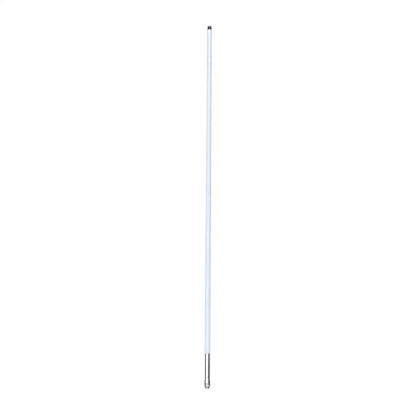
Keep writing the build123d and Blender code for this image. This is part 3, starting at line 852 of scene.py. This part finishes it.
screws = []
for angle in GRUB_ANGLES:
    screw = threaded(GRUB_TIP, GRUB_TOP, GRUB_CREST, GRUB_PITCH, FINE_STEPS)
    lead_in(screw, GRUB_CREST - GRUB_LEAD, GRUB_TIP, 1)
    lead_in(screw, GRUB_CREST - GRUB_LEAD, GRUB_TOP, -1)
    point = carry(
        screw,
        rims(screw, GRUB_TIP),
        (GRUB_POINT_R, GRUB_TIP),
        (GRUB_DIMPLE_R, GRUB_TIP + GRUB_DIMPLE_DEPTH),
    )
    bmesh.ops.holes_fill(screw, edges=point)
    socket = hexagonal(SOCKET_HALF_WIDTH)
    floor_of_socket = carry(
        screw,
        rims(screw, GRUB_TOP),
        (SOCKET_FLARE_R, GRUB_TOP),
        (socket, GRUB_TOP - SOCKET_FLARE_DEPTH),
        (socket, GRUB_TOP - SOCKET_DEPTH),
        (SOCKET_POINT_R, GRUB_TOP - SOCKET_DEPTH - SOCKET_POINT),
    )
    bmesh.ops.holes_fill(screw, edges=floor_of_socket)
    screws.append(outwards(screw, angle, GRUB_LEVEL))
pair = joined(*screws)
piece(pair, "grub_screws", stainless_steel, "stainless_steel", "collar_grub_screws", sharp=radians(25))

# ---- the radome ------------------------------------------------------------------------------------
# A pultruded glass-fibre tube with a pale gel coat, cut square, glued over the sleeve's end and drilled
# for the rivets. Its fibres run lengthwise and show faintly through the coat.
RADOME_BORE_R = 8.0
RIVET_MARGIN, FIRST_SCORE, SCORE_SPACING = 3, 160, 40
FIBRE_WHITE, WEATHERED_GREY = (0.73, 0.79, 0.875), (0.70, 0.74, 0.79)

radome_fibreglass = finish(
    "radome_fibreglass",
    (0.62, 0.675, 0.765),
    (0.66, 0.715, 0.80),
    0.26,
    0.36,
    24,
    Coat_Weight=0.25,
    Coat_Roughness=0.12,
)
fibres = clouds(radome_fibreglass, 1500, (1, 1, 0.012), detail=4)
tint(radome_fibreglass, fibres, None, FIBRE_WHITE, (0.56, 0.80))
weathering = clouds(radome_fibreglass, 90, (1, 1, 0.12), detail=6, roughness=0.7)
tint(radome_fibreglass, weathering, None, WEATHERED_GREY, (0.64, 0.95))
relief(
    radome_fibreglass,
    (fibres, 9e-6),
    (clouds(radome_fibreglass, 30, (1, 1, 0.3)), 3e-5),
    (clouds(radome_fibreglass, 700), 3e-6),
)

radome = tube(radome_r, RADOME_BORE_R, radome_low, radome_high, steps=STEPS, ease=0.3)
around = (RIVET_LEVEL - RIVET_MARGIN, RIVET_LEVEL + RIVET_MARGIN)
inside = RADOME_BORE_R - DRILL_RUN
holes = [drill(RIVET_HOLE_R, angle, RIVET_LEVEL, inside, radome_r) for angle in RIVET_ANGLES]
radome = cut(scored(radome, *around, *range(FIRST_SCORE, int(radome_high), SCORE_SPACING)), *holes)
piece(radome, "radome", radome_fibreglass, "radome_fibreglass", "radome_tube")

# ---- the rivets ------------------------------------------------------------------------------------
# Two stainless pop rivets, one on each side, that pin the radome to the sleeve. The stub of the pulled
# mandrel stays in the middle of each domed head.
RIVET_SHANK_R, SHANK_EDGE = 1.2, 0.2
RIVET_HEAD_R, RIM_EDGE, RIM_DROP = 2.2, 0.05, 0.04
RIVET_DOME, DOME_EDGE, DOME_STEPS = 0.5, 0.08, 6
MANDREL_R, MANDREL_ROUND_R = 0.62, 0.12
MANDREL_TOP, MANDREL_SIDE, MANDREL_FOOT = 0.42, 0.32, 0.12
HEAD_MOUTH_R, HEAD_LIP_R, LIP_TOP_R, CROWN_FROM = 0.74, 0.78, 0.92, 0.42


def seat(reach):
    """How far from the antenna's axis the radome's skin lies, round a circle about a rivet's own axis."""
    return lambda angle: sqrt(radome_r**2 - (reach * sin(angle)) ** 2)


def dome(reach):
    """The height of a rivet's head over the radome's skin."""
    return DOME_EDGE + RIVET_DOME * (1 - (reach / RIVET_HEAD_R) ** 2)


rivets = []
for angle in RIVET_ANGLES:
    rivet = bmesh.new()
    stub = Matrix.Translation((0, 0, radome_r + MANDREL_TOP))
    stub_r = MANDREL_R - MANDREL_ROUND_R
    bmesh.ops.create_circle(rivet, cap_ends=True, radius=stub_r, segments=FINE_STEPS, matrix=stub)
    rim = [edge for edge in rivet.edges if edge.is_boundary]
    shares = [CROWN_FROM + (1 - CROWN_FROM) * step / DOME_STEPS for step in range(DOME_STEPS)]
    end = carry(
        rivet,
        rim,
        (MANDREL_R, radome_r + MANDREL_SIDE),
        (MANDREL_R, radome_r + MANDREL_FOOT),
        (HEAD_MOUTH_R, radome_r + MANDREL_FOOT),
        (HEAD_LIP_R, radome_r + dome(LIP_TOP_R) - RIM_EDGE),
        *[(RIVET_HEAD_R * share, radome_r + dome(RIVET_HEAD_R * share)) for share in shares],
        (RIVET_HEAD_R - RIM_EDGE, radome_r + dome(RIVET_HEAD_R - RIM_EDGE)),
        (RIVET_HEAD_R, radome_r + DOME_EDGE - RIM_DROP),
        (RIVET_HEAD_R, seat(RIVET_HEAD_R)),
        (RIVET_SHANK_R, seat(RIVET_SHANK_R)),
        (RIVET_SHANK_R, SLEEVE_BORE_R + SHANK_EDGE),
        (RIVET_SHANK_R - SHANK_EDGE, SLEEVE_BORE_R),
    )
    bmesh.ops.holes_fill(rivet, edges=end)
    rivets.append(outwards(rivet, angle, RIVET_LEVEL))
piece(joined(*rivets), "rivets", stainless_steel, "stainless_steel", "radome_rivets")

# ---- the O-rings -----------------------------------------------------------------------------------
# Three moulded rubber O-rings keep water out: one round the jack, one in the sleeve's groove and one
# round the cap's plug.
CORD_STEPS = 24

seal_rubber = finish(
    "seal_rubber", (0.012, 0.012, 0.013), (0.028, 0.028, 0.03), 0.42, 0.62, 420, Specular_IOR_Level=0.4
)
relief(seal_rubber, (clouds(seal_rubber, 2600), 8e-6))
o_rings = {"jack_seal": "jack_o_ring", "radome_seal": "sleeve_o_ring", "cap_seal": "cap_o_ring"}
for name, made in o_rings.items():
    low, high, reach = extent(name)
    cord_r = (high - low) / 2
    rounds = [2 * pi * step / CORD_STEPS for step in range(CORD_STEPS)]
    section = [(reach - cord_r + cord_r * cos(turn), low + cord_r + cord_r * sin(turn)) for turn in rounds]
    piece(turned(*section), made, seal_rubber, "seal_rubber", name)

# ---- the foam pad ----------------------------------------------------------------------------------
# A plug of closed-cell foam, punched from sheet and pushed in over the array, which stops its top end
# from rattling.
PAD_STATIONS, PAD_STEPS = 9, 72
PAD_EDGE, PAD_SAG = 0.8, 0.35
PAINTED_PIT_SHADE = (0.40, 0.40, 0.34)
DENT_SIZE, CRUMB_PER_MM, CRUMB_DEPTH = 1.7, 2.1, 0.12

foam = finish("foam", (0.62, 0.62, 0.55), (0.80, 0.80, 0.74), 0.8, 0.95, 350, Specular_IOR_Level=0.2)
cells = node(foam, "TexVoronoi", Vector=place(foam), Scale=1400.0).outputs["Distance"]
# Painted shade: the colour darkens towards the middle of each cell, where the bump below sinks it into a
# pit.
tint(foam, cells, None, PAINTED_PIT_SHADE, (0.30, 0.12))
relief(foam, (cells, 2.5e-4), (clouds(foam, 1200), 6e-5))

pad_low, pad_high, pad_r = extent("top_foam_pad")
pad_side = pad_high - pad_low - 2 * PAD_EDGE
side = [(pad_r, pad_low + PAD_EDGE + pad_side * step / PAD_STATIONS) for step in range(PAD_STATIONS + 1)]
inwards = [pad_r * (1 - step / PAD_STATIONS) for step in range(1, PAD_STATIONS)]
bottoms = [(reach, pad_low) for reach in reversed(inwards)]
tops = [(reach, pad_high) for reach in inwards]
pad = turned(*bottoms, *side, *tops, steps=PAD_STEPS, hollow=False)
pad_middle = Vector((0, 0, (pad_low + pad_high) / 2))
for vert in pad.verts:
    crumb = CRUMB_DEPTH * abs(noise.noise(vert.co * CRUMB_PER_MM))
    dent = 0.5 * PAD_SAG * (1 + noise.noise(vert.co / DENT_SIZE)) + crumb
    vert.co -= (vert.co - pad_middle).normalized() * min(dent, PAD_SAG)
piece(pad, "foam_plug", foam, "foam", "top_foam_pad")

# ---- the cap ---------------------------------------------------------------------------------------
# Moulded in black UV-stable plastic: a domed head and a hollow plug, pushed into the radome with its
# O-ring. A small dimple in the middle is where the mould was filled.
CAP_ROUND, CAP_ROUND_STEPS, CAP_EDGE = 4.2, 12, 0.2
CROWN, CROWN_STATIONS = 0.22, (3.8, 2.6, 1.6)
GATE_R, GATE_FLOOR_R, GATE_DEPTH, GATE_ROUND = 0.9, 0.4, 0.18, 0.15
CAP_BORE_R, CAP_ROOF, CAP_ROOF_FILLET = 5.75, 1.0, 0.6
PLUG_R, PLUG_LEAD = 7.95, 0.6
GROOVE_SLACK, GROOVE_DEPTH = 0.13, 1.2

cap_plastic = finish(
    "cap_plastic", (0.010, 0.011, 0.016), (0.018, 0.019, 0.027), 0.12, 0.22, 130, Specular_IOR_Level=0.6
)
relief(cap_plastic, (clouds(cap_plastic, 3800), 5e-6), (clouds(cap_plastic, 210), 1.2e-5))

plug_low, cap_top, cap_r = extent("top_cap")
flat_r = cap_r - CAP_ROUND
turns = [pi / 2 * step / CAP_ROUND_STEPS for step in range(CAP_ROUND_STEPS + 1)]
flattened = 1 - CROWN / CAP_ROUND
shoulder = [
    (flat_r + CAP_ROUND * cos(turn), cap_top - CROWN - CAP_ROUND * (1 - sin(turn)) * flattened)
    for turn in turns
]
crown_reaches = (*CROWN_STATIONS, GATE_R + GATE_ROUND)
crown = [(reach, cap_top - CROWN * (reach / flat_r) ** 2) for reach in crown_reaches]
seal_low, seal_high = extent("cap_seal")[:2]
groove_low, groove_high = seal_low - GROOVE_SLACK, seal_high + GROOVE_SLACK
cap = turned(
    (CAP_BORE_R - CAP_ROOF_FILLET, cap_top - CAP_ROOF - CAP_ROUND),
    (CAP_BORE_R, cap_top - CAP_ROOF - CAP_ROOF_FILLET - CAP_ROUND),
    (CAP_BORE_R, plug_low),
    (PLUG_R - PLUG_LEAD, plug_low),
    (PLUG_R, plug_low + PLUG_LEAD),
    (PLUG_R, groove_low),
    (PLUG_R - GROOVE_DEPTH, groove_low),
    (PLUG_R - GROOVE_DEPTH, groove_high),
    (PLUG_R, groove_high),
    (PLUG_R, radome_high),
    (cap_r - CAP_EDGE, radome_high),
    (cap_r, radome_high + CAP_EDGE),
    *shoulder,
    *crown,
    (GATE_R - 0.1, cap_top - GATE_DEPTH),
    (GATE_FLOOR_R, cap_top - GATE_DEPTH),
    ease=0.08,
    hollow=False,
)
piece(cap, "cap", cap_plastic, "cap_plastic", "top_cap", sharp=radians(28))

# ---- the washers -----------------------------------------------------------------------------------
# Two stainless washers lie between the nut and the collar: a split spring washer, coiled from square
# wire, and a plain one, punched from sheet. They come down the thread with the nut.
WASHER_BORE_R, WASHER_EDGE = THREAD_R + 0.12, 0.2
SPLIT_AT = radians(200)
SPLIT_WIDTH = 0.9
SPLIT_SLANT = 0.16
SPRING_ROUND = 0.12

spring_low, spring_high, spring_r = extent("lock_washer")
gap = SPLIT_WIDTH / WASHER_BORE_R
spring = bmesh.new()
reaches = (WASHER_BORE_R, spring_r, spring_r, WASHER_BORE_R)
levels = (spring_low, spring_low, spring_high, spring_high)
verts = [spring.verts.new((radius, 0, level)) for radius, level in zip(reaches, levels)]
start = spring.faces.new(verts)
bmesh.ops.spin(spring, geom=[start], axis=(0, 0, 1), angle=2 * pi - gap, steps=STEPS)
middle = (spring_low + spring_high) / 2
for vert in spring.verts:
    lean = SPLIT_SLANT * (vert.co.z - middle) / (spring_high - spring_low)
    vert.co = Matrix.Rotation(SPLIT_AT + gap / 2 + lean, 3, "Z") @ vert.co
bmesh.ops.recalc_face_normals(spring, faces=spring.faces)
spring = eased(spring, SPRING_ROUND)
piece(spring, "spring_washer", stainless_steel, "stainless_steel", "lock_washer", body="washers")

plain_low, plain_high, plain_r = extent("flat_washer")
plain = turned(
    (WASHER_BORE_R, plain_low),
    (plain_r - WASHER_EDGE, plain_low),
    (plain_r, plain_low + WASHER_EDGE),
    (plain_r, plain_high - WASHER_EDGE),
    (plain_r - WASHER_EDGE, plain_high),
    (WASHER_BORE_R, plain_high),
    ease=0.1,
)
piece(plain, "plain_washer", stainless_steel, "stainless_steel", "flat_washer", body="washers")

# ---- the nut ---------------------------------------------------------------------------------------
# A nickel-plated brass hexagon nut, 18 mm across its flats, tapped to run on the jack's thread, with
# its corners turned away at both ends.
NUT_HALF_WIDTH, NUT_FACE_R = 9.0, 8.7
NUT_BORE_R, NUT_BORE_LEAD, NUT_BORE_STEP = THREAD_R + 0.06, 0.5, 0.05
NUT_CORNER_ROUND, NUT_CORNER_DEPTH = 0.12, 0.9
CORNER_ANGLE, CORNER_LENGTH = radians(50), 2.5
CORNER_DROP = NUT_CORNER_DEPTH / (NUT_HALF_WIDTH / cos(pi / 6) - NUT_FACE_R)

nut_low, nut_high = extent("mounting_nut")[:2]
nut_plate = finish("nut_plate", (0.60, 0.595, 0.59), (0.72, 0.715, 0.71), 0.15, 0.3, 150, Metallic=1.0)
relief(nut_plate, (clouds(nut_plate, 900, (1, 1, 0.15)), 4e-6), (clouds(nut_plate, 2600), 2e-6))


def turned_away(level, side):
    """The level where a cone turned on the nut's end meets its flats, at each angle."""
    flats = hexagonal(NUT_HALF_WIDTH)
    return lambda angle: level + side * CORNER_DROP * max(0.0, flats(angle) - NUT_FACE_R)


nut = threaded(nut_low + NUT_BORE_LEAD, nut_high - NUT_BORE_LEAD, NUT_BORE_R)
outer = carry(
    nut,
    rims(nut, nut_low + NUT_BORE_LEAD),
    (NUT_BORE_R + NUT_BORE_STEP, nut_low + NUT_BORE_LEAD - NUT_BORE_STEP),
    (NUT_BORE_R + NUT_BORE_LEAD, nut_low),
    (NUT_FACE_R, nut_low),
    (hexagonal(NUT_HALF_WIDTH), turned_away(nut_low, 1)),
    (hexagonal(NUT_HALF_WIDTH), turned_away(nut_high, -1)),
    (NUT_FACE_R, nut_high),
    (NUT_BORE_R + NUT_BORE_LEAD, nut_high),
    (NUT_BORE_R + NUT_BORE_STEP, nut_high - NUT_BORE_LEAD + NUT_BORE_STEP),
)
bmesh.ops.bridge_loops(nut, edges=outer + rims(nut, nut_high - NUT_BORE_LEAD))
bmesh.ops.recalc_face_normals(nut, faces=nut.faces)
corners = [
    edge
    for edge in nut.edges
    if edge.is_manifold and edge.calc_face_angle(0) > CORNER_ANGLE and edge.calc_length() > CORNER_LENGTH
]
bmesh.ops.bevel(
    nut, geom=corners, offset=NUT_CORNER_ROUND, segments=3, profile=0.5, affect="EDGES", material=-1
)
piece(nut, "hexagon_nut", nut_plate, "nickel_plate", "mounting_nut", body="nut", sharp=radians(20))

# ---- the marking -----------------------------------------------------------------------------------
# A column of plain bars, pad-printed on the sleeve in black ink, to the right of the front. The ink
# stands a tenth of a millimetre proud of the metal.
MARK_ANGLE = radians(-51)
MARK_HALF_ANGLE = radians(24)
MARK_PITCH, MARK_FIRST = 6.9, 35.5
MARK_LENGTHS = (5.0, 3.4, 5.0, 4.2, 5.4, 3.4, 5.0, 4.2)
MARK_ROUND, MARK_ROUND_STEPS = 0.7, 6
MARK_STRIPS = 14
INK_HEIGHT = 0.095

marking_ink = finish(
    "marking_ink", (0.008, 0.008, 0.014), (0.018, 0.018, 0.028), 0.5, 0.65, 700, Specular_IOR_Level=0.15
)
relief(marking_ink, (clouds(marking_ink, 3000), 1e-5))

bars = []
for index, length in enumerate(MARK_LENGTHS):
    bar = bmesh.new()
    bmesh.ops.create_grid(bar, x_segments=1, y_segments=1, size=0.5)
    bmesh.ops.scale(bar, vec=(2 * sleeve_r * MARK_HALF_ANGLE, length, 1), verts=bar.verts)
    style = {"segments": MARK_ROUND_STEPS, "profile": 0.5, "affect": "VERTICES", "material": -1}
    bmesh.ops.bevel(bar, geom=bar.verts[:], offset=MARK_ROUND, **style)
    for strip in range(1, MARK_STRIPS):
        across = sleeve_r * MARK_HALF_ANGLE * (2 * strip / MARK_STRIPS - 1)
        slice_through(bar, (across, 0, 0), (1, 0, 0), dist=1e-4)
    raised = bmesh.ops.extrude_face_region(bar, geom=bar.faces[:])["geom"]
    top = [item for item in raised if isinstance(item, BMVert)]
    bmesh.ops.translate(bar, verts=top, vec=(0, 0, INK_HEIGHT))
    level = MARK_FIRST + index * MARK_PITCH
    for vert in bar.verts:
        across, along, height = vert.co
        angle = MARK_ANGLE + across / sleeve_r
        vert.co = ((sleeve_r + height) * cos(angle), (sleeve_r + height) * sin(angle), level + along)
    bars.append(bar)
piece(joined(*bars), "printed_bars", marking_ink, "marking_ink", "marking_bars")
